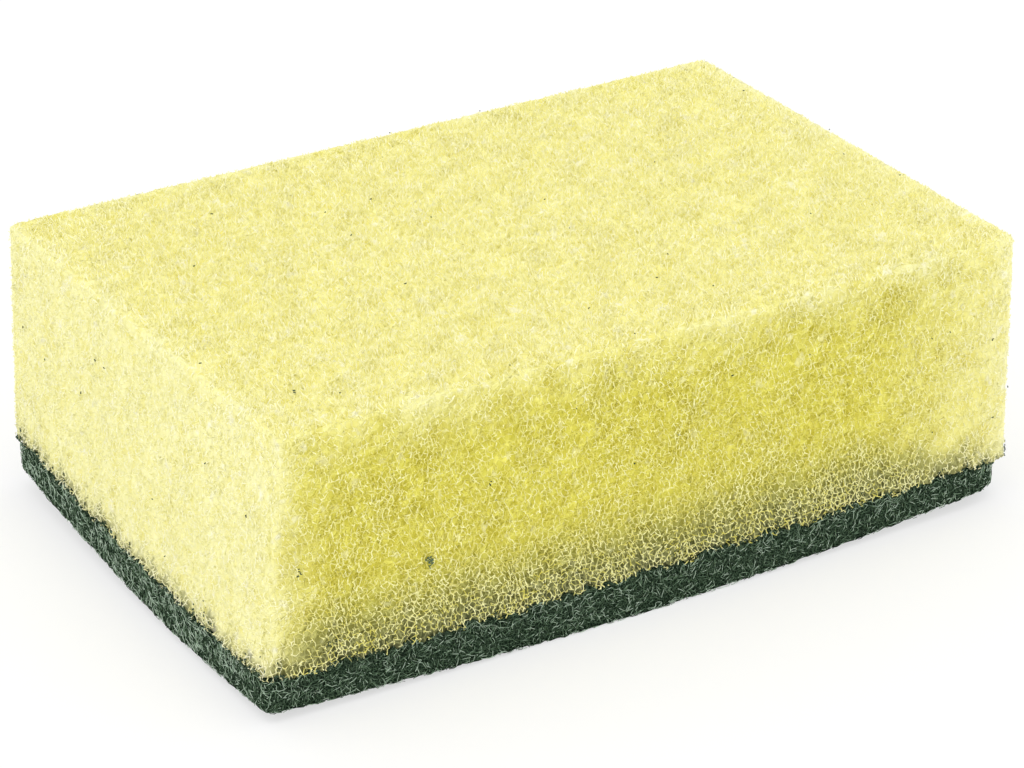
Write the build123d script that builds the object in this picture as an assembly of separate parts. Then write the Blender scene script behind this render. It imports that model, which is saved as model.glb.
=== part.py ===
"""Two-layer cleaning sponge: an open-cell foam block bonded to a non-woven scouring pad.

Millimetres. X runs along the length, Y across the width and Z up, from the middle of
the flat underside that the sponge lies on. The pad is below and the foam above, and
they meet face to face on one plane that curls up at a single corner. Front is -Y and
left is -X.
"""

import math
import os

from build123d import *

# Block: corner to corner in plan, and the two layers in height
block_length = 90.0
block_width = 60.0
foam_height = 26.3
pad_thickness = 4.7

# Sides at the bond, where foam and pad stand out a little at the middle of each side
long_side_bow = 0.8
short_side_bow = 0.5

# Foam: the knife left the two left corners leaning in, and the cut edges are soft
front_left_lean = 2.4
back_left_lean = 1.1
foam_corner_radius = 1.0
top_edge_radius = 0.6

# Pad: upright corners, rounder than the foam's and each by its own amount
pad_front_left_radius = 1.2
pad_front_right_radius = 4.5
pad_back_right_radius = 3.0
pad_back_left_radius = 3.0

# Underside of the pad: each corner sweeps up from the flat middle on one large arc
front_left_lift = 1.2
front_right_lift = 1.8
back_right_lift = 1.4
back_left_lift = 2.8
corner_lift_reach = 44.0

# Bond: at the back left it curls up too, on an arc of the same reach
back_left_bond_rise = 1.5

# How far a cutting tool runs past what it cuts
cut_overrun = 5.0


def bowed_side(start, end, bow):
    """One side of an outline, drawn anticlockwise, that stands out by bow at its middle."""
    return SagittaArc(start, end, -bow) if bow else Line(start, end)


def plan_outline(height, corners, long_bow, short_bow, radii):
    """Flat face at one height: four bowed sides through the corners, then rounded corners.

    Corners and radii run anticlockwise from the front left.
    """
    front_left, front_right, back_right, back_left = corners
    with BuildSketch(Plane.XY.offset(height)) as outline:
        with BuildLine():
            bowed_side(front_left, front_right, long_bow)
            bowed_side(front_right, back_right, short_bow)
            bowed_side(back_right, back_left, long_bow)
            bowed_side(back_left, front_left, short_bow)
        make_face()
        for corner, radius in zip(corners, radii):
            nearest = outline.vertices().sort_by_distance((*corner, height))[0]
            fillet(nearest, radius)
    return outline.sketch.face()


def square_corners():
    """The block's four corners in plan, anticlockwise from the front left."""
    x = block_length / 2
    y = block_width / 2
    return [(-x, -y), (x, -y), (x, y), (-x, y)]


def bond_outline(height, radii):
    """Outline at the bond, the same for foam and pad but for the corners' radii."""
    return plan_outline(height, square_corners(), long_side_bow, short_side_bow, radii)


def make_foam_block():
    """Foam: a loft from the bowed outline at the bond up to a straight-sided, leaning top."""
    front_left, front_right, back_right, back_left = square_corners()
    top_corners = [
        (front_left[0] + front_left_lean, front_left[1]),
        front_right,
        back_right,
        (back_left[0] + back_left_lean, back_left[1]),
    ]
    radii = [foam_corner_radius] * len(top_corners)
    foot = bond_outline(pad_thickness, radii)
    top = plan_outline(pad_thickness + foam_height, top_corners, 0, 0, radii)
    block = loft([foot, top], ruled=True)
    top_edges = block.faces().sort_by(Axis.Z)[-1].edges()
    return fillet(top_edges, top_edge_radius) - bond_curl()


def space_below_lift(corner, height, lift):
    """The space below an arc that leaves the level plane at this height
    corner_lift_reach short of the corner and has risen by lift there.
    """
    diagonal = math.hypot(*corner)
    outward = Vector(*corner) / diagonal
    arc_start = outward * (diagonal - corner_lift_reach) + Vector(0, 0, height)
    across = Plane(origin=arc_start, x_dir=outward, z_dir=outward.cross(Vector(0, 0, 1)))
    arc_radius = (corner_lift_reach**2 + lift**2) / (2 * lift)
    arc_run = corner_lift_reach + cut_overrun
    arc_angle = math.degrees(math.asin(arc_run / arc_radius))
    with BuildPart() as tool:
        with BuildSketch(across):
            with BuildLine():
                arc = JernArc(start=(0, 0), tangent=(1, 0), radius=arc_radius, arc_size=arc_angle)
                Polyline(arc @ 1, (arc_run, -cut_overrun), (0, -cut_overrun), arc @ 0)
            make_face()
        extrude(amount=diagonal, both=True)
    return tool.part


def bond_curl():
    """What the pad takes from the foam where the bond curls up, with some overrun below."""
    front_left, front_right, back_right, back_left = square_corners()
    return space_below_lift(back_left, pad_thickness, back_left_bond_rise)


def make_scouring_pad():
    """Pad: a slab of the bond outline, curled at one corner, with four lower corners swept up."""
    radii = [
        pad_front_left_radius,
        pad_front_right_radius,
        pad_back_right_radius,
        pad_back_left_radius,
    ]
    outline = bond_outline(0, radii)
    pad = extrude(outline, amount=pad_thickness, dir=(0, 0, 1))
    pad += extrude(outline, amount=pad_thickness + back_left_bond_rise, dir=(0, 0, 1)) & bond_curl()
    lifts = [front_left_lift, front_right_lift, back_right_lift, back_left_lift]
    for corner, lift in zip(square_corners(), lifts):
        pad -= space_below_lift(corner, 0, lift)
    return pad


def main():
    os.makedirs("parts", exist_ok=True)
    nodes = {"foam_block": make_foam_block(), "scouring_pad": make_scouring_pad()}
    for name, shape in nodes.items():
        export_step(shape, f"parts/{name}.step")
        size = shape.bounding_box().size
        print(f"{name}: {size.X:.2f} x {size.Y:.2f} x {size.Z:.2f} mm, {shape.volume:.0f} mm3")


main()
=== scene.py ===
import math
from itertools import permutations, product

import bpy
import numpy as np
from mathutils import Euler, Matrix, Vector
from mathutils.bvhtree import BVHTree


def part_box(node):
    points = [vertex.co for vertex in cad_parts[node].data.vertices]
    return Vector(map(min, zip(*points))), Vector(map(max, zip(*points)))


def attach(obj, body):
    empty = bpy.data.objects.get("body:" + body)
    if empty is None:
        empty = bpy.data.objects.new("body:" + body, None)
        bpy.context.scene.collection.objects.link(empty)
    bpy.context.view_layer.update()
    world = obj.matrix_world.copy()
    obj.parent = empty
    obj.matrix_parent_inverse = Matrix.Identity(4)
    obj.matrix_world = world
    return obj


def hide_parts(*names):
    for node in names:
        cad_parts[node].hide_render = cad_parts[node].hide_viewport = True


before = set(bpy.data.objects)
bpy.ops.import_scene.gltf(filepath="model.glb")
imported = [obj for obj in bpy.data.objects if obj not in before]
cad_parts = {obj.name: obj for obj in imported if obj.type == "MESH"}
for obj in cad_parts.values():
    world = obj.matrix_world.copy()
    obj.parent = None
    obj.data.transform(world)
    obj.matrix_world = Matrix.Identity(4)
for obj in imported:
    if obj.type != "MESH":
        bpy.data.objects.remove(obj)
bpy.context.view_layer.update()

mm = 0.001
foamLow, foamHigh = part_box("foam_block")
padLow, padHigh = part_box("scouring_pad")
bondHeight = foamLow.z


# small helpers

def surfaceTree(node, wanted=lambda normal: True):
    # search tree over the faces of a CAD node whose normals are wanted
    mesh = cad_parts[node].data
    faces = [tuple(face.vertices) for face in mesh.polygons if wanted(face.normal)]
    return BVHTree.FromPolygons([vertex.co.copy() for vertex in mesh.vertices], faces)


def meshPiece(name, points, triangles, material, bakePlaces=None, values=None, smooth=True):
    mesh = bpy.data.meshes.new(name)
    mesh.vertices.add(len(points))
    mesh.vertices.foreach_set("co", np.ascontiguousarray(points, np.float32).ravel())
    mesh.loops.add(3 * len(triangles))
    mesh.loops.foreach_set("vertex_index", np.ascontiguousarray(triangles, np.int32).ravel())
    mesh.polygons.add(len(triangles))
    mesh.polygons.foreach_set("loop_start", np.arange(len(triangles), dtype=np.int32) * 3)
    mesh.polygons.foreach_set("use_smooth", np.full(len(triangles), smooth))
    if bakePlaces is not None:  # each strut or fibre has its own patch when the colours are baked
        mesh.uv_layers.new(name="OFBake").data.foreach_set("uv", bakePlaces.astype(np.float32).ravel())
    for key, numbers in (values or {}).items():
        mesh.attributes.new(key, "FLOAT", "POINT").data.foreach_set("value", numbers.astype(np.float32))
    mesh.update(calc_edges=True)
    mesh.materials.append(material)
    piece = bpy.data.objects.new(name, mesh)
    bpy.context.scene.collection.objects.link(piece)
    return piece


def addToPart(piece, node):
    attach(piece, "root")
    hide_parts(node)
    print(f"{piece.name}: {len(piece.data.polygons)} triangles")


def patchCorners(count):
    # lower corner and size of one square patch for each of count things
    across = math.ceil(math.sqrt(count))
    order = np.arange(count)
    return np.stack((order % across, order // across), 1) / across, 1 / across


def unit(ways):
    return ways / np.maximum(np.linalg.norm(ways, axis=-1, keepdims=True), 1e-12)


def smoothShare(values, low, high):
    # 0 at low and 1 at high, eased at both ends
    share = np.clip((values - low) / (high - low), 0, 1)
    return share * share * (3 - 2 * share)


def slowDrift(points, length, rng, waves=6):
    # smooth wandering of about unit size, one value for each axis
    drift = np.zeros_like(points)
    for wave in range(waves):
        ways = unit(rng.normal(size=(3, 3))) * (2 * math.pi / length) * rng.uniform(0.6, 1.3, (3, 1))
        drift += np.sin(points @ ways.T + rng.uniform(0, 2 * math.pi, 3))
    return drift * math.sqrt(2 / waves)


# bond line between foam and pad

bondLook = {
    # it wanders: length of a wave and how far the line goes up and down
    "waves": ((7.0 * mm, 0.17 * mm), (2.2 * mm, 0.19 * mm), (0.9 * mm, 0.12 * mm)),
    "seed": 3,
}


def bondWander(places):
    rng = np.random.default_rng(bondLook["seed"])
    flat = places * (1, 1, 0)
    return sum(slowDrift(flat, length, rng)[:, 0] * size for length, size in bondLook["waves"])


def bondLine(places):
    # height of the bond over or under each place
    tree = surfaceTree("foam_block", lambda normal: normal.z < -0.9)
    flat = np.array([tree.find_nearest((x, y, bondHeight))[0].z for x, y, z in places])
    return flat + bondWander(places)


# tones of the foam, as painted light: paler on the top and the ends, as lit faces, and painted shade near
# the pad

foamTone = {
    # the paleness of a face begins to fade this far before its edge and has gone this far round the edge
    "fade": {"top": (3.0 * mm, 6.0 * mm), "left": (2.5 * mm, 6.5 * mm), "right": (0.5 * mm, 20.0 * mm)},
    "fadeWander": 0.5 * mm,     # and the fading wanders about this much,
    "wanderLengths": (3.5 * mm, 1.2 * mm),  # in waves of these lengths
    # painted light: the ends take their own paler colours within about this of them, half as much at the
    # top
    "endFade": 1.5 * mm,
    "endLossAtTop": 0.5,
    "edgeHighlightWidth": 2.5 * mm,      # painted highlight: edges are milky about this far in,
    "edgeHighlightMost": 0.5,
    "edgeHighlightLength": 9.0 * mm,     # in places about this long
    "edgeHighlightRange": (-1.0, 1.5),
    "padReach": 10.0 * mm,      # painted shade, where the dark pad takes up the light, reaches up to this far above the bond,
    "padReachPale": 2.4 * mm,   # and this far on the pale faces, a little weaker
    "padWander": 0.4 * mm,
    "padOnPale": 0.75,
    "seed": 11,
}


def faceDistances(places):
    # how far each place is from the cut faces
    wanted = {"top": lambda n: n.z > 0.7, "left": lambda n: n.x < -0.7, "right": lambda n: n.x > 0.7,
              "front": lambda n: n.y < -0.7, "back": lambda n: n.y > 0.7}
    away = {}
    for name, isFace in wanted.items():
        tree = surfaceTree("foam_block", isFace)
        away[name] = np.array([tree.find_nearest(place)[3] for place in places])
    return away


def edgeDistance(away):
    # to the nearest edge: the distance to the second nearest face
    return np.sort(np.stack(list(away.values())), 0)[1]


def foamTones(places):
    rng = np.random.default_rng(foamTone["seed"])
    wander = sum(slowDrift(places, length, rng)[:, 0] for length in foamTone["wanderLengths"])
    away = faceDistances(places)
    toLong = np.minimum(away["front"], away["back"]) + wander * foamTone["fadeWander"]
    pale = np.zeros(len(places))
    for name, (before, after) in foamTone["fade"].items():
        pale = np.maximum(pale, smoothShare(toLong - away[name], -after, before))
    # painted highlight: milky, whiter edges in patches
    edgeHighlight = np.exp(-edgeDistance(away) / foamTone["edgeHighlightWidth"]) * foamTone["edgeHighlightMost"]
    edgeHighlight *= smoothShare(slowDrift(places, foamTone["edgeHighlightLength"], rng)[:, 0], *foamTone["edgeHighlightRange"])
    end = np.exp(-np.minimum(away["left"], away["right"]) / foamTone["endFade"])
    end *= 1 - foamTone["endLossAtTop"] * np.exp(-away["top"] / foamTone["endFade"])
    # painted shade over the bond, fading upwards
    reach = foamTone["padReach"] + (foamTone["padReachPale"] - foamTone["padReach"]) * pale
    overBond = places[:, 2] - bondLine(places) + foamTone["padWander"] * wander * pale
    low = 1 - smoothShare(overBond, 0, reach)
    low *= 1 - pale * (1 - foamTone["padOnPale"])
    return {"pale": pale, "end": end, "edgeHighlight": edgeHighlight, "low": low}


# materials

def newMaterial(name):
    material = bpy.data.materials.new(name)
    material.use_nodes = True
    tree = material.node_tree
    return material, tree.nodes, tree.links, tree.nodes["Principled BSDF"]


def rampNode(nodes, stops):
    ramp = nodes.new("ShaderNodeValToRGB")
    ramp.color_ramp.elements.remove(ramp.color_ramp.elements[1])
    for at, colour in stops:
        stop = ramp.color_ramp.elements[0] if at == stops[0][0] else ramp.color_ramp.elements.new(at)
        stop.position = at
        stop.color = (*colour, 1)
    return ramp


def mixNode(nodes, links, kind, share, first, second):
    mix = nodes.new("ShaderNodeMix")
    mix.data_type = "RGBA"
    mix.blend_type = kind
    for socket, source in ((0, share), (6, first), (7, second)):
        if isinstance(source, bpy.types.NodeSocket):
            links.new(source, mix.inputs[socket])
        else:
            mix.inputs[socket].default_value = source if socket == 0 else (*source, 1)
    return mix.outputs[2]


def valueOf(nodes, name):
    # one of the values that the mesh carries at its points
    attribute = nodes.new("ShaderNodeAttribute")
    attribute.attribute_name = name
    return attribute.outputs["Fac"]


def eased(nodes, links, source, low, high, most=1.0):
    share = nodes.new("ShaderNodeMapRange")
    share.interpolation_type = "SMOOTHSTEP"
    share.inputs["From Min"].default_value = low
    share.inputs["From Max"].default_value = high
    share.inputs["To Max"].default_value = most
    links.new(source, share.inputs["Value"])
    return share.outputs[0]


def objectPlace(nodes, links, stretch=(1, 1, 1)):
    place = nodes.new("ShaderNodeTexCoord")
    scaled = nodes.new("ShaderNodeVectorMath")
    scaled.operation = "MULTIPLY"
    scaled.inputs[1].default_value = stretch
    links.new(place.outputs["Object"], scaled.inputs[0])
    return scaled.outputs[0]


def faceColour(nodes, links, colours):
    # of the long sides, the top and the ends, as the face asks for, as lit and shaded copies of one colour,
    # and milky at the edges as a painted highlight
    pale = mixNode(nodes, links, "MIX", valueOf(nodes, "end"), colours["top"], colours["end"])
    colour = mixNode(nodes, links, "MIX", valueOf(nodes, "pale"), colours["long"], pale)
    return mixNode(nodes, links, "MIX", valueOf(nodes, "edgeHighlight"), colour, colours["edgeHighlight"])


foamPatches = {
    # thin skins left over some cells, and places where the cells lie open, painted darker and yellower as
    # shade, which multiply the colour
    "skin": {"long": (0.95, 0.915, 0.48), "pale": (0.975, 0.955, 0.76), "blend": "MIX",
             "width": 1.3 * mm, "ramp": (0.38, 0.26), "most": 0.7},
    "openShade": {"long": (0.88, 0.86, 0.70), "pale": (0.955, 0.935, 0.76), "blend": "MULTIPLY",
             "width": 1.6 * mm, "ramp": (0.54, 0.68), "most": 1.0},
    "riseStretch": 1.35,
}


def patched(nodes, links, colour, place, patch):
    noise = nodes.new("ShaderNodeTexNoise")
    noise.inputs["Scale"].default_value = 1 / patch["width"]
    noise.inputs["Detail"].default_value = 1
    links.new(place, noise.inputs["Vector"])
    share = eased(nodes, links, noise.outputs["Fac"], *patch["ramp"], patch["most"])
    spot = mixNode(nodes, links, "MIX", valueOf(nodes, "pale"), patch["long"], patch["pale"])
    return mixNode(nodes, links, patch["blend"], share, colour, spot)


strutFinish = {
    # from dim to bright struts, as painted shade and painted glints; each face has its own lit or shaded
    # copy
    "long": ((0.78, 0.72, 0.13), (0.99, 0.97, 0.52)),
    "top": ((0.88, 0.84, 0.36), (0.97, 0.95, 0.66)),
    "end": ((0.93, 0.90, 0.46), (0.97, 0.955, 0.70)),
    "edgeHighlight": ((0.89, 0.87, 0.52), (0.96, 0.95, 0.72)),
    "roughness": 0.5,
    "specular": 0.5,
}


def strutMaterial():
    material, nodes, links, shader = newMaterial("foamStruts")
    tone = valueOf(nodes, "tone")
    faces = ("long", "top", "end", "edgeHighlight")
    colours = {name: mixNode(nodes, links, "MIX", tone, *strutFinish[name]) for name in faces}
    place = objectPlace(nodes, links, (1, 1, 1 / foamPatches["riseStretch"]))
    colour = patched(nodes, links, faceColour(nodes, links, colours), place, foamPatches["skin"])
    links.new(colour, shader.inputs["Base Color"])
    shader.inputs["Roughness"].default_value = strutFinish["roughness"]
    shader.inputs["Specular IOR Level"].default_value = strutFinish["specular"]
    return material


coreFinish = {
    # the deeper struts, and the pores between them, darker as painted shade
    "long": ((0.92, 0.87, 0.20), (0.69, 0.635, 0.085)),
    "top": ((0.96, 0.92, 0.44), (0.88, 0.83, 0.30)),
    "end": ((0.955, 0.925, 0.53), (0.94, 0.905, 0.47)),
    "edgeHighlight": ((0.95, 0.93, 0.58), (0.88, 0.86, 0.46)),
    # painted shade over the bond, for the deeper struts and the pores
    "pad": ((0.38, 0.385, 0.165), (0.065, 0.076, 0.034)),
    "poreWidth": 0.65 * mm,
    "poreRim": (0.03, 0.14),    # a pore deepens between these shares of its width
    "poreShade": 0.6,           # and gets this dark as painted shade, before the pits of the mesh
    "bump": 0.55,
    "bumpDepth": 0.3 * mm,
    "roughness": 0.8,
    "specular": 0.1,
}


def coreMaterial():
    material, nodes, links, shader = newMaterial("foamInside")
    place = objectPlace(nodes, links, (1, 1, 1 / foamPatches["riseStretch"]))
    cells = nodes.new("ShaderNodeTexVoronoi")
    cells.feature = "DISTANCE_TO_EDGE"
    cells.inputs["Scale"].default_value = 1 / coreFinish["poreWidth"]
    links.new(place, cells.inputs["Vector"])
    pore = nodes.new("ShaderNodeMath")
    pore.operation = "MULTIPLY_ADD"
    pore.inputs[1].default_value = coreFinish["poreShade"]
    links.new(eased(nodes, links, cells.outputs["Distance"], *coreFinish["poreRim"]), pore.inputs[0])
    links.new(valueOf(nodes, "deep"), pore.inputs[2])
    pore = pore.outputs[0]
    faces = ("long", "top", "end", "edgeHighlight", "pad")
    colours = {name: mixNode(nodes, links, "MIX", pore, *coreFinish[name]) for name in faces}
    colour = faceColour(nodes, links, colours)
    for name in ("openShade", "skin"):
        colour = patched(nodes, links, colour, place, foamPatches[name])
    # painted shade over the bond
    colour = mixNode(nodes, links, "MIX", valueOf(nodes, "low"), colour, colours["pad"])
    links.new(colour, shader.inputs["Base Color"])
    bump = nodes.new("ShaderNodeBump")
    bump.invert = True
    bump.inputs["Strength"].default_value = coreFinish["bump"]
    bump.inputs["Distance"].default_value = coreFinish["bumpDepth"]
    links.new(pore, bump.inputs["Height"])
    links.new(bump.outputs[0], shader.inputs["Normal"])
    shader.inputs["Roughness"].default_value = coreFinish["roughness"]
    shader.inputs["Specular IOR Level"].default_value = coreFinish["specular"]
    return material


webFinish = {
    "dark": (0.012, 0.026, 0.013),
    "mid": (0.180, 0.285, 0.174),
    "light": (0.62, 0.76, 0.61),
    # the deeper fibres and the gaps between them are dimmer, as painted shade
    "deepFibre": (0.088, 0.138, 0.086),
    "gap": (0.008, 0.017, 0.009),
    "midAt": 0.55,              # where the middle tone lies between dark and light
    "tangleWidth": 0.32 * mm,
    "lineWidth": 0.10,          # of the deeper fibres, as a share of that
    "roughness": 0.5,
    "specular": 0.15,
    "coreRoughness": 0.9,
}


def webMaterial():
    material, nodes, links, shader = newMaterial("scouringFibres")
    stops = ((0.0, webFinish["dark"]), (webFinish["midAt"], webFinish["mid"]), (1.0, webFinish["light"]))
    ramp = rampNode(nodes, stops)
    links.new(valueOf(nodes, "tone"), ramp.inputs[0])
    links.new(ramp.outputs[0], shader.inputs["Base Color"])
    shader.inputs["Roughness"].default_value = webFinish["roughness"]
    shader.inputs["Specular IOR Level"].default_value = webFinish["specular"]
    return material


def webCoreMaterial():
    # deeper fibres, as crossing lines over dark gaps, dimmed as painted shade
    material, nodes, links, shader = newMaterial("scouringInside")
    place = objectPlace(nodes, links)
    stray = nodes.new("ShaderNodeTexNoise")
    stray.inputs["Scale"].default_value = 1 / webFinish["tangleWidth"]
    links.new(place, stray.inputs["Vector"])
    bent = nodes.new("ShaderNodeVectorMath")
    bent.operation = "MULTIPLY_ADD"
    bent.inputs[1].default_value = (webFinish["tangleWidth"],) * 3
    links.new(stray.outputs["Color"], bent.inputs[0])
    links.new(place, bent.inputs[2])
    lines = nodes.new("ShaderNodeTexVoronoi")
    lines.feature = "DISTANCE_TO_EDGE"
    lines.inputs["Scale"].default_value = 1 / webFinish["tangleWidth"]
    links.new(bent.outputs[0], lines.inputs["Vector"])
    ramp = rampNode(nodes, ((0.0, webFinish["deepFibre"]), (webFinish["lineWidth"], webFinish["gap"])))
    links.new(lines.outputs["Distance"], ramp.inputs[0])
    links.new(ramp.outputs[0], shader.inputs["Base Color"])
    shader.inputs["Roughness"].default_value = webFinish["coreRoughness"]
    shader.inputs["Specular IOR Level"].default_value = 0.0
    return material


# open cells of the foam: a net of struts just under the cut faces

foamCells = {
    "cellWidth": 0.85 * mm,
    "riseStretch": 1.30,        # cells stand taller than they are wide
    "paleDepth": 0.10 * mm,     # a strut is kept if one end is this near to the cut face,
    "longDepth": 0.30 * mm,     # and this near on the long sides, where one sees into the cells
    "proud": 0.17 * mm,         # the net stands this far out of the nominal faces,
    "proudTop": 0.25 * mm,      # this far on the top,
    "proudEdge": 0.02 * mm,     # and this far along the edges
    "edgeWidth": 1.0 * mm,      # which begin this far in
    "edgeFlat": 0.2 * mm,       # and are full from here on
    "uprightFrom": 0.55,        # struts steeper than this count as upright
    "levelShare": 0.10,         # share of the struts lying level that are kept on the top,
    "stem": 0.45 * mm,          # where the upright ones reach this much deeper
    "nodeRadius": 0.058 * mm,
    "nodeSpread": 0.35,
    "stray": 0.12,              # share of a cell by which each node strays
    "swell": 0.22 * mm,         # slow drift that makes cells larger and smaller
    "swellLength": 6.0 * mm,
    "stubShare": 0.45,          # share of the cut struts that are left standing
    "hang": 0.15 * mm,          # struts hang this far over the pad, more or less
    "hangSpread": 0.12 * mm,
    "hangLength": 1.5 * mm,
    "turn": (0.31, 0.47, 0.73),  # tilt of the cells to the faces
    "rim": 2.6 * mm,            # only cells this near to a cut face are made
    "seed": 7,
}
strutTone = {
    "mean": 0.48,
    "nodeSpread": 0.38,         # painted glints: nodes catch the light, each in its own way,
    "drift": 0.12,
    "driftLength": 3.0 * mm,
    "insideLoss": 0.45,         # and less of it inside, as painted shade
    "insideRange": (-0.1 * mm, 0.5 * mm),
    # painted highlight: upright struts are lighter
    "uprightGain": 0.5,
    "strutSpread": 0.2,
    "overPadGain": 0.3,         # painted light: struts are lighter over the painted shade above the pad
}


def cellLinks():
    # the 12 places in a cell, in quarters of it, where four struts meet, and how they join up
    sites = [np.array(place) for odd in (1, 3) for place in permutations((0, odd, 2))]
    steps = [np.array(step) for step in product((-1, 0, 1), repeat=3) if np.abs(step).sum() == 2]
    siteAt = {tuple(site): index for index, site in enumerate(sites)}
    ends = [[site + step for step in steps if tuple((site + step) % 4) in siteAt] for site in sites]
    reach = np.array([[siteAt[tuple(end % 4)] for end in row] for row in ends])
    return np.array(sites), reach, np.array(ends) // 4


def foamNodes(rng):
    # nodes of the net near the faces of the block, and the four nodes that each one joins
    sites, reach, shift = cellLinks()
    width = foamCells["cellWidth"]
    low, high = np.array(foamLow), np.array(foamHigh)
    middle = (low + high) / 2
    count = math.ceil(np.linalg.norm(high - low) / width) + 2
    taller = np.array([[1], [1], [foamCells["riseStretch"]]])
    turn = np.array(Euler(foamCells["turn"]).to_matrix()) * taller
    grid = np.stack(np.meshgrid(*[np.arange(count)] * 3, indexing="ij"), -1).reshape(-1, 3)
    centres = (grid + 0.5 - count / 2) * width @ turn.T + middle
    margin, rim = 2 * width, foamCells["rim"]
    inBlock = ((centres > low - margin) & (centres < high + margin)).all(1)
    deepAcross = ((centres[:, :2] > low[:2] + rim) & (centres[:, :2] < high[:2] - rim)).all(1)
    kept = grid[inBlock & ~(deepAcross & (centres[:, 2] < high[2] - rim))]
    cellAt = np.full((count + 2,) * 3, -1)
    cellAt[tuple((kept + 1).T)] = np.arange(len(kept))
    places = ((kept[:, None] + sites / 4) - count / 2).reshape(-1, 3) * width @ turn.T + middle
    near = cellAt[tuple((kept[:, None, None] + shift + 1).transpose(3, 0, 1, 2))]
    joins = np.where(near < 0, -1, near * 12 + reach).reshape(-1, 4)
    places += slowDrift(places, foamCells["swellLength"], rng) * foamCells["swell"]
    places += rng.normal(size=places.shape) * foamCells["stray"] * width
    return places, joins


def faceName(normal, place):
    if normal.z > 0.7:
        return "TopLeft" if place[0] < 0 else "TopRight"
    if abs(normal.y) > abs(normal.x):
        return "Front" if normal.y < 0 else "Back"
    return "Left" if normal.x < 0 else "Right"


def depthUnderFaces(places):
    # distance under the nearest cut face, and that face's name; the glued face doesn't count
    tree = surfaceTree("foam_block", lambda normal: normal.z > -0.9)
    depth = np.full(len(places), 1.0)
    names = np.full(len(places), "", dtype="U8")
    for index, place in enumerate(places):
        spot, normal, face, distance = tree.find_nearest(place)
        inside = (Vector(place) - spot).dot(normal) < 0
        depth[index] = distance if inside else -distance
        names[index] = faceName(normal, place)
    return depth, names


def makeFoamCells(material):
    rng = np.random.default_rng(foamCells["seed"])
    places, joins = foamNodes(rng)
    depth, names = depthUnderFaces(places)
    print(f"foam net: {len(places)} nodes looked at")
    drift = slowDrift(places, foamCells["hangLength"], rng)[:, 2]
    sag = foamCells["hang"] + drift * foamCells["hangSpread"]
    foot = bondLine(places) - sag
    isTop = np.char.startswith(names, "Top")
    proud = np.where(isTop, foamCells["proudTop"], foamCells["proud"])
    outer = np.abs(depth) < foamCells["edgeWidth"]
    toEdge = edgeDistance(faceDistances(places[outer]))
    inEdge = smoothShare(toEdge, foamCells["edgeWidth"], foamCells["edgeFlat"])
    proud[outer] += (foamCells["proudEdge"] - proud[outer]) * inEdge
    level = np.minimum(depth + proud, places[:, 2] - foot)  # above zero inside the foam
    shallow = np.abs(depth) < foamCells["longDepth"]
    pale = foamTones(places[shallow])["pale"]
    deepest = foamCells["longDepth"] * (1 - pale) + foamCells["paleDepth"] * pale
    shallow[shallow] = depth[shallow] < deepest
    start, end = np.repeat(np.arange(len(places)), 4), joins.ravel()
    isPair = (end > start) & (shallow[start] | shallow[end])
    start, end = start[isPair], end[isPair]
    isOut = level[start] <= 0
    start, end = np.where(isOut, end, start), np.where(isOut, start, end)  # a cut strut starts inside
    isCut = level[end] <= 0
    isKept = (level[start] > 0) & (~isCut | (rng.uniform(size=len(start)) < foamCells["stubShare"]))
    steep = np.abs(unit(places[end] - places[start])[:, 2])
    isUpright = steep > foamCells["uprightFrom"]
    isKept &= ~isTop[start] | isUpright | (rng.uniform(size=len(start)) < foamCells["levelShare"])
    start, end, isCut, steep, isUpright = [row[isKept] for row in (start, end, isCut, steep, isUpright)]
    share = np.where(isCut, level[start] / (level[start] - level[end]), 1)[:, None]
    ends = np.stack((places[start], places[start] + (places[end] - places[start]) * share), 1)
    rise = ends[:, 1] - ends[:, 0]
    stem = unit(rise) * np.where(isTop[start] & isUpright, foamCells["stem"], 0)[:, None]
    falls = rise[:, 2] < 0
    ends[~falls, 0] -= stem[~falls]
    ends[falls, 1] += stem[falls]
    radius = foamCells["nodeRadius"] * (1 + foamCells["nodeSpread"] * rng.uniform(-1, 1, len(places)))
    radii = np.stack((radius[start], radius[end]), 1)
    tones = {key: np.repeat(numbers, 4) for key, numbers in foamTones(ends.mean(1)).items()}
    # painted light on the struts: glints at the nodes, shade deeper in, more on upright ones and over the
    # pad
    bright = strutTone["mean"] + strutTone["nodeSpread"] * rng.normal(size=len(places))
    bright += strutTone["drift"] * slowDrift(places, strutTone["driftLength"], rng)[:, 0]
    bright -= strutTone["insideLoss"] * smoothShare(depth, *strutTone["insideRange"])
    each = strutTone["uprightGain"] * (steep - 0.5) + strutTone["strutSpread"] * rng.normal(size=len(start))
    each += strutTone["overPadGain"] * tones["low"][::4]
    tone = np.stack((bright[start], bright[end]), 1) + each[:, None]
    tones["tone"] = np.repeat(np.clip(tone, 0, 1).ravel(), 2)
    pieces = []
    for name in ("TopLeft", "TopRight", "Front", "Back", "Left", "Right"):
        mine = names[start] == name
        values = {key: numbers[np.repeat(mine, 4)] for key, numbers in tones.items()}
        pieces.append(strutMesh("foamCells" + name, material, ends[mine], radii[mine], values, rng))
    return pieces


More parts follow.
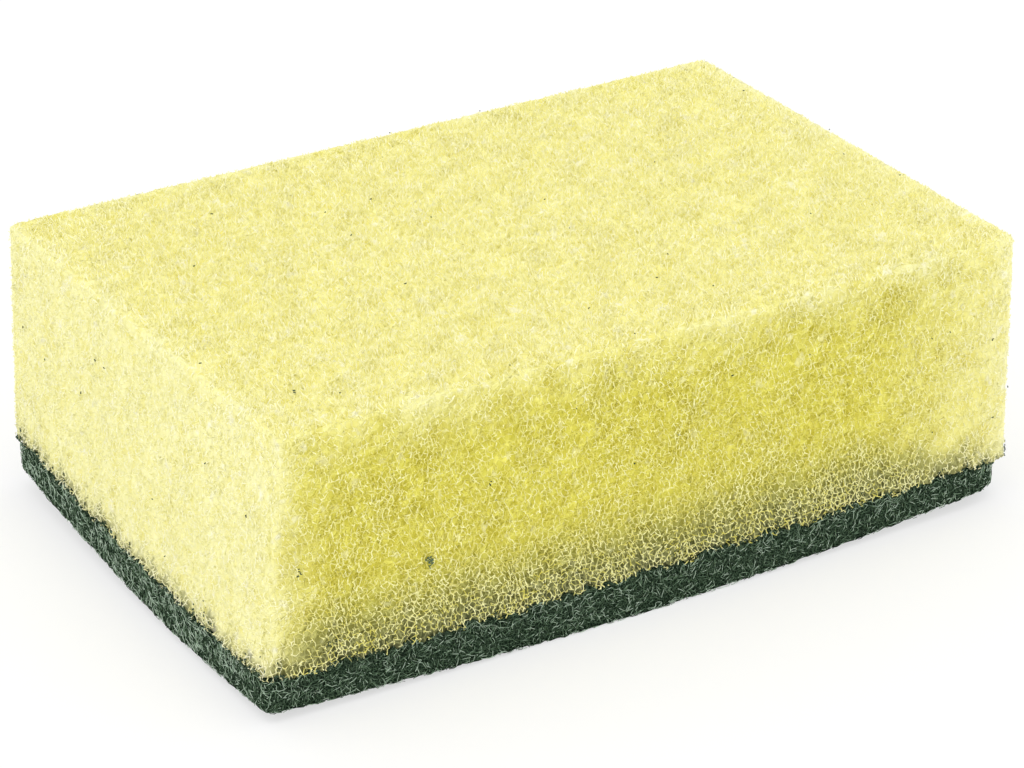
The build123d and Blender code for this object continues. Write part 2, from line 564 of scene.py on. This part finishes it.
def strutMesh(name, material, ends, radii, values, rng):
    # each strut is a thin closed wedge of four faces, flat one way at its start and the other at its end
    along = unit(ends[:, 1] - ends[:, 0])
    flat = unit(np.cross(along, rng.normal(size=along.shape)))
    spread = np.stack((flat * radii[:, :1], np.cross(along, flat) * radii[:, 1:]), 1)
    points = np.stack((ends + spread, ends - spread), 2).reshape(-1, 3)
    sides = np.array([(0, 1, 2), (1, 0, 3), (0, 2, 3), (1, 3, 2)])
    triangles = (4 * np.arange(len(ends))[:, None, None] + sides).reshape(-1, 3)
    patch, size = patchCorners(len(ends))
    lower, upper = [(0.1, 0.1), (0.8, 0.1), (0.1, 0.8)], [(0.9, 0.9), (0.2, 0.9), (0.9, 0.2)]
    bakePlaces = patch[:, None, None] + size * np.array([lower, lower, upper, upper])
    return meshPiece(name, points, triangles, material, bakePlaces.reshape(-1, 2), values, smooth=False)


# the insides, which show between the struts and fibres: rings of points, from the bottom up

foamCore = {
    "spacing": 0.50 * mm,
    # how far under the cut faces the inside is at its highest, and how much deeper its pits go
    "long": (0.20 * mm, 0.45 * mm),
    "end": (0.12 * mm, 0.26 * mm),
    "top": (0.20 * mm, 0.55 * mm),
    "edge": (0.10 * mm, 0.24 * mm),
    "cleanEdge": (0.07 * mm, 0.12 * mm),  # the edges at the back and the right were cut cleaner
    "cleanFade": (1.4 * mm, 0.5 * mm),
    "rounding": 0.6 * mm,       # the top edge turns over within this height,
    "roundingRow": 0.3,         # with one row of points at this share of it
    "clear": 0.1 * mm,          # the lowest row keeps this far over the lower edge of the cut faces
    "shake": 0.07 * mm,
    "edgeCalm": 0.6,            # share of the shake that the edges don't get
    "pitShade": 0.4,
    "seed": 17,
}
padCore = {
    "spacing": 0.6 * mm,
    "rows": 6,
    "rings": (0.12, 0.25, 0.4, 0.55, 0.68, 0.79, 0.87, 0.93, 0.97, 0.99),  # of the underside
    "inset": 0.22 * mm,
    "edgeInset": 0.06 * mm,
    "underInset": 0.20 * mm,
    "underFull": 0.95,          # the inset is full up to this share of the way out
    "rough": 0.05 * mm,
    "notch": 0.05 * mm,         # nicks in the lower edge, above this height of a slow drift
    "notchFrom": 0.3,
    "notchLength": 3.0 * mm,
    "floorGap": 0.03 * mm,
    "seed": 5,
}


def outlineWays(tree, height, spacing):
    # directions from the middle that step evenly along the outline at one height
    fine = np.linspace(0, 2 * math.pi, 4000)
    rim = np.array([tree.ray_cast((0, 0, height), (math.cos(a), math.sin(a), 0))[0] for a in fine])
    along = np.concatenate(([0], np.cumsum(np.linalg.norm(np.diff(rim, axis=0), axis=1))))
    count = round(along[-1] / spacing)
    angles = np.interp(np.arange(count) * along[-1] / count, along, fine)
    return np.stack((np.cos(angles), np.sin(angles), np.zeros(count)), 1)


def outlineAt(tree, heights, ways):
    hits = [tree.ray_cast((0, 0, height), way)[:2] for height, way in zip(heights, ways)]
    return np.array([spot for spot, normal in hits]), np.array([normal for spot, normal in hits])


def shrunk(ring, share, height):
    inner = ring * share
    inner[:, 2] = height
    return inner


def ringMesh(name, rings, pole, lid, material, values=None):
    # walls through the rings, a floor that fans out from a pole, and the triangles of a lid
    points = np.concatenate((*rings, pole))
    index = np.arange(sum(map(len, rings))).reshape(len(rings), -1)
    after = np.roll(index, -1, 1)
    sides = np.stack((index[:-1], after[:-1], after[1:], index[:-1], after[1:], index[1:]), -1)
    floor = np.stack((np.full(index.shape[1], index.size), after[0], index[0]), 1)
    triangles = np.concatenate((sides.reshape(-1, 3), floor, lid))
    return meshPiece(name, points, triangles, material, values=values)


def topGrid():
    # even grid of places on the flat of the foam's top, and the order of those round its rim
    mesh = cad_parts["foam_block"].data
    flat = np.array([vertex.co for vertex in mesh.vertices if vertex.co.z > foamHigh.z - 0.01 * mm])
    frontLeft, frontRight, backLeft, backRight = [
        flat[np.argmax(flat @ (x, y, 0))] for y in (-1, 1) for x in (-1, 1)]
    across = np.linspace(0, 1, round((foamHigh.x - foamLow.x) / foamCore["spacing"]))[None, :, None]
    back = np.linspace(0, 1, round((foamHigh.y - foamLow.y) / foamCore["spacing"]))[:, None, None]
    front = frontLeft * (1 - across) + frontRight * across
    grid = front * (1 - back) + (backLeft * (1 - across) + backRight * across) * back
    index = np.arange(grid.shape[0] * grid.shape[1]).reshape(grid.shape[:2])
    rim = np.concatenate((index[0, :-1], index[:-1, -1], index[-1, :0:-1], index[:0:-1, 0]))
    return grid.reshape(-1, 3), index, rim


def makeFoamCore(material):
    # pitted all over, so that one looks into the cells
    rng = np.random.default_rng(foamCore["seed"])
    tree = surfaceTree("foam_block", lambda normal: normal.z > -0.9)
    top, middle = foamHigh.z, (bondHeight + foamHigh.z) / 2
    grid, index, rim = topGrid()
    ways = unit(grid[rim] * (1, 1, 0))
    outline = outlineAt(tree, np.full(len(ways), middle), ways)[0]
    foot = bondLine(outline)
    clear = np.maximum(foot, foot - bondWander(outline) + foamCore["clear"])
    rounding = foamCore["rounding"]
    shares = np.linspace(0, 1, round((top - bondHeight) / foamCore["spacing"]))
    heights = [clear + (top - rounding - clear) * share for share in shares]
    heights.append(np.full(len(ways), top - foamCore["roundingRow"] * rounding))
    found = [outlineAt(tree, height, ways) for height in heights]
    spots = np.concatenate([row[0] for row in found] + [grid])
    normals = np.concatenate([row[1] for row in found] + [np.tile((0.0, 0.0, 1.0), (len(grid), 1))])
    tones, away = foamTones(spots), faceDistances(spots)
    long, end, edge, cleanEdge = [np.array(foamCore[name]) for name in ("long", "end", "edge", "cleanEdge")]
    inset = long + np.outer(tones["pale"], end - long)
    inset[len(spots) - len(grid):] = foamCore["top"]
    inEdge = smoothShare(edgeDistance(away), foamCells["edgeWidth"], foamCells["edgeFlat"])[:, None]
    clean = smoothShare(np.minimum(away["back"], away["right"]), *foamCore["cleanFade"])[:, None]
    inset += (edge * (1 - clean) + cleanEdge * clean - inset) * inEdge
    pit = rng.uniform(size=len(spots))
    spots -= normals * (inset[:, 0] + inset[:, 1] * pit)[:, None]
    spots += rng.normal(size=spots.shape) * foamCore["shake"] * (1 - foamCore["edgeCalm"] * inEdge)
    rows = list(spots[:len(spots) - len(grid)].reshape(len(heights), -1, 3))
    rows[0][:, 2] = foot
    grid = spots[len(spots) - len(grid):]
    place = np.full(len(grid), -1)
    place[rim] = (len(rows) + 1) * len(rim) + np.arange(len(rim))
    inner = np.flatnonzero(place < 0)
    place[inner] = (len(rows) + 2) * len(rim) + 1 + np.arange(len(inner))
    corner, right, left, far = [place[part].ravel() for part in
                                (index[:-1, :-1], index[:-1, 1:], index[1:, :-1], index[1:, 1:])]
    lid = np.concatenate((np.stack((corner, right, far), 1), np.stack((corner, far, left), 1)))
    rings = [shrunk(rows[0], 0.5, bondHeight), *rows, grid[rim]]
    pole = np.concatenate((np.array([(0, 0, bondHeight)]), grid[inner]))
    values = foamTones(np.concatenate((*rings, pole)))
    onGrid = pit[len(pit) - len(grid):]
    deep = (np.zeros(len(rim)), pit[:len(pit) - len(grid)], onGrid[rim], np.zeros(1), onGrid[inner])
    # painted shade: the pits of the mesh are darker the deeper they go
    values["deep"] = np.concatenate(deep) * foamCore["pitShade"]
    return ringMesh("foamCore", rings, pole, lid, material, values)


def makePadCore(material):
    rng = np.random.default_rng(padCore["seed"])
    tree = surfaceTree("scouring_pad")
    half, inset = (padLow.z + padHigh.z) / 2, padCore["inset"]
    ways = outlineWays(tree, half, padCore["spacing"])
    spots, normals = outlineAt(tree, np.full(len(ways), half), ways)
    rim = spots - normals * inset
    bond = np.column_stack((rim[:, :2], bondLine(rim)))

    def underside(ring):
        heights = [tree.ray_cast((x, y, padLow.z - mm), (0, 0, 1))[0].z for x, y, z in ring]
        return np.column_stack((ring[:, :2], np.array(heights) + padCore["floorGap"]))

    drift = slowDrift(rim, padCore["notchLength"], rng)[:, 2]
    notch = np.maximum(drift - padCore["notchFrom"], 0) * padCore["notch"]
    edge = underside(spots - normals * padCore["edgeInset"])
    edge[:, 2] += notch
    rings = [underside(edge * share) for share in padCore["rings"]]
    for ring, share in zip(rings, padCore["rings"]):
        ring[:, 2] += padCore["underInset"] * smoothShare(share, 1, padCore["underFull"])
    rings[-1][:, 2] += notch
    for share in np.linspace(0, 1, padCore["rows"]):
        rings.append(edge * (1 - share) + bond * share)
    for ring in rings[:-1]:
        ring += rng.normal(size=ring.shape) * padCore["rough"]
        ring[:, 2] = np.maximum(ring[:, 2], padCore["floorGap"])
    rings.append(shrunk(rim, 0.5, bondHeight))
    last = len(rings) * len(rim) + np.arange(-len(rim), 0)
    lid = np.stack((np.full(len(rim), len(rings) * len(rim) + 1), last, np.roll(last, -1)), 1)
    return ringMesh("padCore", rings, [(0, 0, inset / 2), (0, 0, bondHeight)], lid, material)


# curly fibres of the scouring web

webFibres = {
    "sideCount": 13000,
    "sideSteps": 2,
    "sideStep": 0.48 * mm,
    "sideRadius": 0.037 * mm,
    "underCount": 6000,
    "underSteps": 2,
    "underStep": 0.80 * mm,
    "underRadius": 0.060 * mm,
    "deepest": 0.35 * mm,      # fibres lie between this far inside the cut face
    "proudest": 0.06 * mm,     # and this far outside it
    "wave": 0.20 * mm,         # over and under its neighbours
    "curl": 0.50,              # turn at each step, in radians
    "follow": 2.0 * mm,        # the ones this near to the bond line follow it
    "brightest": 0.9,
    "glints": 0.36,            # painted glints: how much the brightness goes up and down along a fibre
    "edgeGlint": (-0.3, 1.1),  # how much darker or paler the ones at the cut lower edge are
    "edgeFade": (0.5 * mm, 0.1 * mm),
    "endPale": 0.18,           # painted light: the fibres of the two short sides are this much paler, as if lit more
    "seed": 21,
}


def startsOn(node, wanted, count, rng):
    # even spread of places over the wanted faces of a CAD node
    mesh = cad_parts[node].data
    mesh.calc_loop_triangles()
    faces = [t.vertices for t in mesh.loop_triangles if wanted(t.normal)]
    corners = np.array([[mesh.vertices[v].co[:] for v in face] for face in faces])
    area = np.linalg.norm(np.cross(corners[:, 1] - corners[:, 0], corners[:, 2] - corners[:, 0]), axis=1)
    picked = corners[rng.choice(len(corners), count, p=area / area.sum())]
    one, two = np.sqrt(rng.uniform(size=(count, 1))), rng.uniform(size=(count, 1))
    return picked[:, 0] * (1 - one) + picked[:, 1] * one * (1 - two) + picked[:, 2] * one * two


def fibrePaths(tree, starts, steps, length, rng):
    # each fibre creeps over the surface, turning as it goes, and weaves in and out of it
    paths = np.zeros((len(starts), steps + 1, 3))
    outward = np.zeros_like(paths)
    for row, place in enumerate(starts):
        spot, normal, face, distance = tree.find_nearest(place)
        way = Vector(rng.normal(size=3))
        bend = rng.normal() * webFibres["curl"] * 0.5
        base = rng.uniform(-webFibres["deepest"], webFibres["proudest"])
        phase, pace = rng.uniform(0, 2 * math.pi), rng.uniform(0.6, 1.4)
        for step in range(steps + 1):
            way = (way - normal * way.dot(normal)).normalized()
            height = min(base + webFibres["wave"] * math.sin(phase + pace * step), webFibres["proudest"])
            paths[row, step] = spot + normal * height
            outward[row, step] = normal
            bend = 0.75 * bend + rng.normal() * webFibres["curl"] * 0.55
            way = Matrix.Rotation(bend, 3, normal) @ way
            spot, normal, face, distance = tree.find_nearest(spot + way * length)
    return paths, outward


def tubeMesh(name, material, paths, outward, radius, tone):
    # three-sided closed tubes along the paths
    along = unit(np.gradient(paths, axis=1))
    up = unit(outward - along * (outward * along).sum(2, keepdims=True))
    side = np.cross(along, up)
    count, length = paths.shape[:2]
    angles = [2 * math.pi * k / 3 for k in range(3)]
    rings = np.stack([paths + radius * (math.cos(a) * up + math.sin(a) * side) for a in angles], 2)
    index = np.arange(count * length * 3).reshape(count, length, 3)
    here, there = index[:, :-1], index[:, 1:]
    nextHere, nextThere = np.roll(here, -1, 2), np.roll(there, -1, 2)
    sides = np.stack((here, nextThere, nextHere, here, there, nextThere), -1).reshape(-1, 3)
    caps = np.concatenate((index[:, 0], index[:, -1, ::-1]))
    patch, size = patchCorners(count)
    low = np.broadcast_to((np.arange(length - 1) / length)[:, None, None], (length - 1, 3, 1))
    high = low + 1 / length
    left, right = np.full_like(low, 0.1), np.full_like(low, 0.9)
    corners = ((left, low), (right, high), (right, low), (left, low), (left, high), (right, high))
    square = np.stack([np.concatenate(corner, -1) for corner in corners], -2)
    sidePlaces = patch[:, None, None, None] + size * square
    capSquare = np.array([(0.1, 0.1), (0.9, 0.1), (0.1, 0.3)])
    capPlaces = np.tile(patch[:, None] + size * capSquare, (2, 1, 1))
    bakePlaces = np.concatenate((sidePlaces.reshape(-1, 2), capPlaces.reshape(-1, 2)))
    return meshPiece(name, rings.reshape(-1, 3), np.concatenate((sides, caps)), material, bakePlaces,
                     {"tone": np.repeat(np.clip(tone, 0, 1).ravel(), 3)})


def makeWebFibres(material):
    rng = np.random.default_rng(webFibres["seed"])
    tree = surfaceTree("scouring_pad", lambda normal: normal.z < 0.9)
    under = surfaceTree("scouring_pad", lambda normal: normal.z < -0.7)
    wanted = {"side": lambda n: abs(n.z) < 0.7, "under": lambda n: n.z < -0.7}
    pieces = []
    for part, name in (("side", "padEdgeFibres"), ("under", "padUnderFibres")):
        sizes = [webFibres[part + size] for size in ("Count", "Steps", "Step", "Radius")]
        count, steps, step, radius = sizes
        starts = startsOn("scouring_pad", wanted[part], count, rng)
        paths, outward = fibrePaths(tree, starts, steps, step, rng)
        flat = paths.reshape(-1, 3)
        below = bondLine(flat) - bondWander(flat) - flat[:, 2]
        flat[:, 2] += bondWander(flat) * smoothShare(below, webFibres["follow"], 0)
        paths[..., 2] = np.maximum(paths[..., 2], radius)  # nothing sinks into the floor
        tone = rng.uniform(0, webFibres["brightest"], (count, 1))
        # painted glints along each fibre
        tone = tone + rng.normal(size=paths.shape[:2]) * webFibres["glints"]
        if part == "side":
            toFloor = np.array([under.find_nearest(place)[3] for place in flat]).reshape(tone.shape)
            glint = rng.uniform(*webFibres["edgeGlint"], (count, 1))
            tone += smoothShare(toFloor, *webFibres["edgeFade"]) * glint
            # painted light on the fibres of the short sides
            tone += webFibres["endPale"] * np.abs(outward[..., 0])
        pieces.append(tubeMesh(name, material, paths, outward, radius, tone))
    return pieces


# bits of the web that cling to the foam

webBits = {
    "clumps": 200,            # caught in the foam just over the bond
    "clumpBits": 6,
    "climb": 0.8 * mm,        # and up to this far over it, more or less
    "scattered": 60,          # single bits anywhere on the foam
    "length": 0.24 * mm,
    "radius": 0.065 * mm,
    "lift": 0.12 * mm,        # they lie on the struts, this far out of the nominal face
    "bow": 0.3,
    "tuftSpread": 0.18 * mm,  # how far the bits of a clump or tuft lie apart
    "tuftFrom": 3,            # fewer bits than this lie in one place,
    "largeFrom": 10,          # and a tuft of this many has larger and paler ones
    "largeSize": 2.0,
    "largePaler": 0.25,
    "palest": 0.25,
    "seed": 33,
    # bits that the photograph shows, as pixels of its 1024 x 768 frame, and how many lie in each
    "seen": {
        "frontTuft": ((430, 560), 12), "cornerTuft": ((299, 573), 5), "topBit": ((351, 236), 2),
        "leftBit": ((206, 463), 2), "leftHighBit": ((194, 267), 2), "leftEdgeBit": ((24, 327), 2),
        "endPairBit": ((96, 360), 2), "lowLeftBit": ((247, 516), 2), "edgePairBit": ((294, 392), 3),
        "frontDarkBit": ((491, 480), 3), "frontMiddleBit": ((634, 463), 2), "rightBit": ((992, 339), 2),
        "rightLowBit": ((992, 417), 2), "rightTopBit": ((909, 301), 2), "frontTopBit": ((732, 375), 2),
    },
}


def photoRay(camera, pixel):
    # from the camera through a pixel of the photograph
    wide, high = 1024, 768
    focal = camera.data.lens / camera.data.sensor_width * wide
    way = Vector(((pixel[0] - wide / 2) / focal, (high / 2 - pixel[1]) / focal, -1))
    return camera.matrix_world.translation, camera.matrix_world.to_quaternion() @ way


def makeWebBits(camera, material):
    rng = np.random.default_rng(webBits["seed"])
    sides = surfaceTree("foam_block", lambda normal: abs(normal.z) < 0.5)
    cut = surfaceTree("foam_block", lambda normal: normal.z > -0.9)
    starts = startsOn("foam_block", lambda n: abs(n.z) < 0.5, webBits["clumps"], rng)
    climb = np.repeat(rng.exponential(webBits["climb"], len(starts)), webBits["clumpBits"])
    starts = np.repeat(starts, webBits["clumpBits"], 0)
    starts += rng.normal(size=(len(climb), 3)) * webBits["tuftSpread"]
    starts[:, 2] = bondLine(starts) + climb * rng.uniform(size=len(climb))
    found = [sides.find_nearest(place)[:2] for place in starts]
    places = startsOn("foam_block", lambda n: n.z > -0.9, webBits["scattered"], rng)
    found += [cut.find_nearest(place)[:2] for place in places]
    sizes = [1.0] * len(found)
    for pixel, count in webBits["seen"].values():
        spot = Vector(cut.ray_cast(*photoRay(camera, pixel))[0])
        spread = 0 if count < webBits["tuftFrom"] else webBits["tuftSpread"]
        around = rng.normal(size=(count, 3)) * spread * (1, 1, 2)
        found += [cut.find_nearest(spot + Vector(offset))[:2] for offset in around]
        sizes += [webBits["largeSize"] if count >= webBits["largeFrom"] else 1.0] * count
    spots = np.array([spot for spot, normal in found])
    normals = np.array([normal for spot, normal in found])
    way = unit(np.cross(normals, rng.normal(size=normals.shape)))
    bow = np.cross(normals, way) * rng.normal(size=(len(spots), 1)) * webBits["bow"]
    sizes = np.array(sizes)[:, None]
    reach = webBits["length"] * sizes * rng.uniform(0.5, 1.3, (len(spots), 1)) / 2
    middle = spots + normals * webBits["lift"]
    paths = np.stack((middle - (way + bow) * reach, middle, middle + (way - bow) * reach), 1)
    outward = np.repeat(normals[:, None], 3, 1)
    tone = rng.uniform(0, webBits["palest"], paths.shape[:2]) + webBits["largePaler"] * (sizes - 1)
    return tubeMesh("webBits", material, paths, outward, webBits["radius"], tone)


# stage: floor, lights, world and camera

stageLook = {
    "floorSize": 6.0,
    "floorColour": 0.92,
    "floorRoughness": 0.9,
    "worldStrength": 1.12,
    "floorGlow": 0.6,       # share of plain white in what the camera sees of the floor
    # place, size and power of each lamp, all aimed at the middle of the sponge
    "lamps": {
        "overhead": ((-0.10, 0.05, 0.95), 0.9, 1.0),
        "leftSoftbox": ((-0.95, -0.25, 0.35), 0.8, 0.5),
        "frontFill": ((0.45, -1.1, 0.35), 0.9, 0.8),
    },
}


def seenShare(nodes, links):
    # 1 for what the camera sees, straight or by way of something shiny or clear
    path = nodes.new("ShaderNodeLightPath")
    share = path.outputs["Is Camera Ray"]
    for kind in ("Is Glossy Ray", "Is Transmission Ray"):
        either = nodes.new("ShaderNodeMath")
        either.operation = "MAXIMUM"
        links.new(share, either.inputs[0])
        links.new(path.outputs[kind], either.inputs[1])
        share = either.outputs[0]
    return share


def makeStage():
    bpy.ops.mesh.primitive_plane_add(size=stageLook["floorSize"])
    floor = bpy.context.object
    floor.name = "floor"
    material, nodes, links, shader = newMaterial("paleFloor")
    shader.inputs["Base Color"].default_value = (*[stageLook["floorColour"]] * 3, 1)
    shader.inputs["Roughness"].default_value = stageLook["floorRoughness"]
    shader.inputs["Specular IOR Level"].default_value = 0.0
    glow = nodes.new("ShaderNodeEmission")
    share = nodes.new("ShaderNodeMath")
    share.operation = "MULTIPLY"
    share.inputs[1].default_value = stageLook["floorGlow"]
    links.new(seenShare(nodes, links), share.inputs[0])
    blend = nodes.new("ShaderNodeMixShader")
    links.new(share.outputs[0], blend.inputs[0])
    links.new(shader.outputs[0], blend.inputs[1])
    links.new(glow.outputs[0], blend.inputs[2])
    links.new(blend.outputs[0], nodes["Material Output"].inputs["Surface"])
    floor.data.materials.append(material)
    world = bpy.data.worlds.new("studio")
    world.use_nodes = True
    bpy.context.scene.world = world
    nodes, links = world.node_tree.nodes, world.node_tree.links
    room = nodes["Background"]
    room.inputs["Strength"].default_value = stageLook["worldStrength"]
    room.inputs["Color"].default_value = (1, 1, 1, 1)
    white = nodes.new("ShaderNodeBackground")
    white.inputs["Color"].default_value = (1, 1, 1, 1)
    mix = nodes.new("ShaderNodeMixShader")
    links.new(seenShare(nodes, links), mix.inputs[0])
    links.new(room.outputs[0], mix.inputs[1])
    links.new(white.outputs[0], mix.inputs[2])
    links.new(mix.outputs[0], nodes["World Output"].inputs["Surface"])
    middle = Vector((0, 0, foamHigh.z / 2))
    for name, (place, size, power) in stageLook["lamps"].items():
        lamp = bpy.data.lights.new(name, "AREA")
        lamp.size = size
        lamp.energy = power
        holder = bpy.data.objects.new(name, lamp)
        holder.location = place
        holder.rotation_euler = (middle - Vector(place)).to_track_quat("-Z", "Y").to_euler()
        bpy.context.scene.collection.objects.link(holder)
    bpy.context.scene.view_settings.view_transform = "Standard"


photoCamera = {
    "lens": 135.0,
    "azimuth": -30.33,
    "elevation": 26.56,
    "distance": 412.6 * mm,
    "right": 0.70 * mm,     # the camera stands this far to the side and up from the line to the middle
    "up": -2.39 * mm,
    "roll": -0.78,
}


def makeCamera():
    azimuth, elevation = math.radians(photoCamera["azimuth"]), math.radians(photoCamera["elevation"])
    back = Vector((math.sin(azimuth) * math.cos(elevation), -math.cos(azimuth) * math.cos(elevation),
                   math.sin(elevation)))
    right = Vector((0, 0, 1)).cross(back).normalized()
    roll = Matrix.Rotation(math.radians(photoCamera["roll"]), 3, "Z")
    frameAxes = Matrix((right, back.cross(right), back)).transposed() @ roll
    offset = Vector([photoCamera[name] for name in ("right", "up", "distance")])
    place = Vector((0, 0, foamHigh.z / 2)) + frameAxes @ offset
    lens = bpy.data.cameras.new("photoCamera")
    lens.lens = photoCamera["lens"]
    camera = bpy.data.objects.new("photoCamera", lens)
    camera.matrix_world = Matrix.LocRotScale(place, frameAxes.to_quaternion(), None)
    bpy.context.scene.collection.objects.link(camera)
    bpy.context.scene.camera = camera
    return camera


makeStage()
camera = makeCamera()
print("stage, lights and camera are set")

core = makeFoamCore(coreMaterial())
addToPart(core, "foam_block")
for piece in makeFoamCells(strutMaterial()):
    addToPart(piece, "foam_block")
fibreMaterial = webMaterial()
addToPart(makeWebBits(camera, fibreMaterial), "foam_block")
addToPart(makePadCore(webCoreMaterial()), "scouring_pad")
for piece in makeWebFibres(fibreMaterial):
    addToPart(piece, "scouring_pad")
